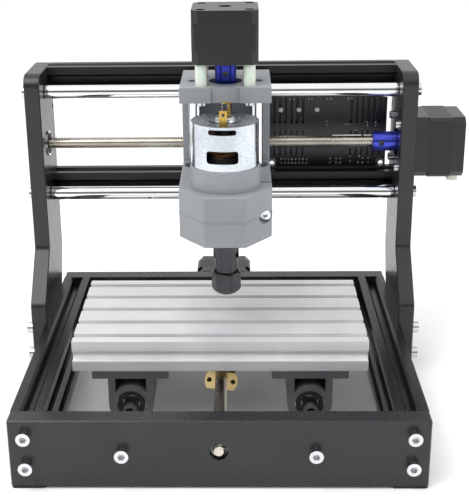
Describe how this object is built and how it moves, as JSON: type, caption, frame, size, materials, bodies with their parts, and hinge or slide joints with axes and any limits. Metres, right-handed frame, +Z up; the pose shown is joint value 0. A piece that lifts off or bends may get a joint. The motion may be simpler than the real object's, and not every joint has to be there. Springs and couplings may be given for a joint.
{
  "type": "cnc router",
  "caption": "Desktop router: a bed slides front to back under a gantry whose carriage crosses sideways and raises a collet spindle, each moved by a lead screw.",
  "frame": {"origin": "on the floor, under the middle of the whole machine's box", "axes": "+X to the machine's right along the gantry, +Y to the back along the bed's travel, +Z up"},
  "size_m": [0.311, 0.279, 0.2666],
  "materials": {
    "phenolic": "satin black machined laminate",
    "black_anodised": "black anodised extrusion",
    "anodised_aluminium": "clear anodised extrusion",
    "chromed_steel": "ground and chromed",
    "stainless": "rolled thread",
    "zinc_steel": "bright zinc",
    "black_oxide": "black oxide",
    "blue_anodised": "blue anodised",
    "brass": "machined",
    "grey_abs": "moulded, fine matt",
    "black_plastic": "moulded",
    "nylon": "natural nylon",
    "motor_black": "black e-coat",
    "magnet": "ferrite",
    "armature": "enamelled windings",
    "circuit_board": "solder mask",
    "rubber": "moulded",
    "white_plastic": "moulded",
    "button_red": "moulded"
  },
  "bodies": {
    "frame": {"front_plate": "phenolic", "rear_plate": "phenolic", "side_beams": "black_anodised", "rubber_feet": "rubber", "upright_left": "phenolic", "upright_right": "phenolic", "crossbars": "black_anodised", "x_rods": "chromed_steel", "y_rods": "chromed_steel", "frame_screws": "zinc_steel", "beam_tee_nuts": "zinc_steel", "ball_bearings": "chromed_steel", "xy_motor_bells": "motor_black", "xy_motor_stacks": "motor_black", "xy_motor_sockets": "white_plastic", "xy_motor_screws": "zinc_steel", "control_board": "circuit_board", "board_hardware": "zinc_steel", "driver_modules": "black_plastic", "board_sockets": "black_plastic", "capacitors": "motor_black"},
    "button": {"power_button": "button_red"},
    "x_drive": {"x_lead_screw": "stainless", "x_coupler": "blue_anodised", "x_motor_rotor": "stainless"},
    "y_drive": {"y_lead_screw": "stainless", "y_coupler": "blue_anodised", "y_motor_rotor": "stainless"},
    "z_drive": {"z_lead_screw": "stainless", "z_coupler": "blue_anodised", "z_motor_rotor": "stainless"},
    "x_carriage": {"carriage_frame": "grey_abs", "x_linear_bearings": "chromed_steel", "x_nut": "brass", "z_rods": "chromed_steel", "z_standoffs": "nylon", "z_motor_screws": "zinc_steel", "z_motor_bells": "motor_black", "z_motor_stack": "motor_black", "z_motor_bearings": "chromed_steel", "z_motor_socket": "white_plastic"},
    "z_slide": {"spindle_holder": "grey_abs", "z_linear_bearings": "chromed_steel", "z_nut": "brass", "holder_screws": "zinc_steel", "spindle_can": "zinc_steel", "spindle_sleeve": "grey_abs", "spindle_cap": "zinc_steel", "spindle_terminals": "brass", "spindle_magnets": "magnet"},
    "spindle": {"spindle_armature": "armature", "chuck_body": "black_oxide", "collet": "zinc_steel", "collet_nut": "black_oxide"},
    "bed": {"bed_plate": "anodised_aluminium", "bearing_blocks": "black_plastic", "y_linear_bearings": "chromed_steel", "y_nut": "brass", "nut_block": "black_plastic", "bed_fasteners": "zinc_steel"}
  },
  "joints": [
    {"name": "x_travel", "type": "slide", "parent": "frame", "child": "x_carriage", "axis": [1, 0, 0], "range_m": [-0.093, 0.067]},
    {"name": "y_travel", "type": "slide", "parent": "frame", "child": "bed", "axis": [0, 1, 0], "range_m": [-0.046, 0.054]},
    {"name": "z_travel", "type": "slide", "parent": "x_carriage", "child": "z_slide", "axis": [0, 0, 1], "range_m": [-0.006, 0.036]},
    {"name": "x_screw_turn", "type": "hinge", "parent": "frame", "child": "x_drive", "pos_m": [-0.0145, 0.0623, 0.1629], "axis": [1, 0, 0], "range_deg": [-3025, 4195]},
    {"name": "y_screw_turn", "type": "hinge", "parent": "frame", "child": "y_drive", "pos_m": [-0.0145, -0.0345, 0.025], "axis": [0, 1, 0], "range_deg": [-2440, 2080]},
    {"name": "z_screw_turn", "type": "hinge", "parent": "x_carriage", "child": "z_drive", "pos_m": [-0.01045, 0.0055, 0.16], "axis": [0, 0, 1], "range_deg": [-1630, 280]},
    {"name": "spindle_spin", "type": "hinge", "parent": "z_slide", "child": "spindle", "pos_m": [-0.01045, -0.041, 0.15], "axis": [0, 0, 1], "continuous": true},
    {"name": "button_press", "type": "slide", "parent": "frame", "child": "button", "axis": [0, -1, 0], "range_m": [0, 0.0015], "stiffness_N_per_m": 400}
  ],
  "couplings": [
    {"joint": "x_screw_turn", "follows": "x_travel", "rad_per_m": -785.4},
    {"joint": "y_screw_turn", "follows": "y_travel", "rad_per_m": -785.4},
    {"joint": "z_screw_turn", "follows": "z_travel", "rad_per_m": -785.4}
  ]
}
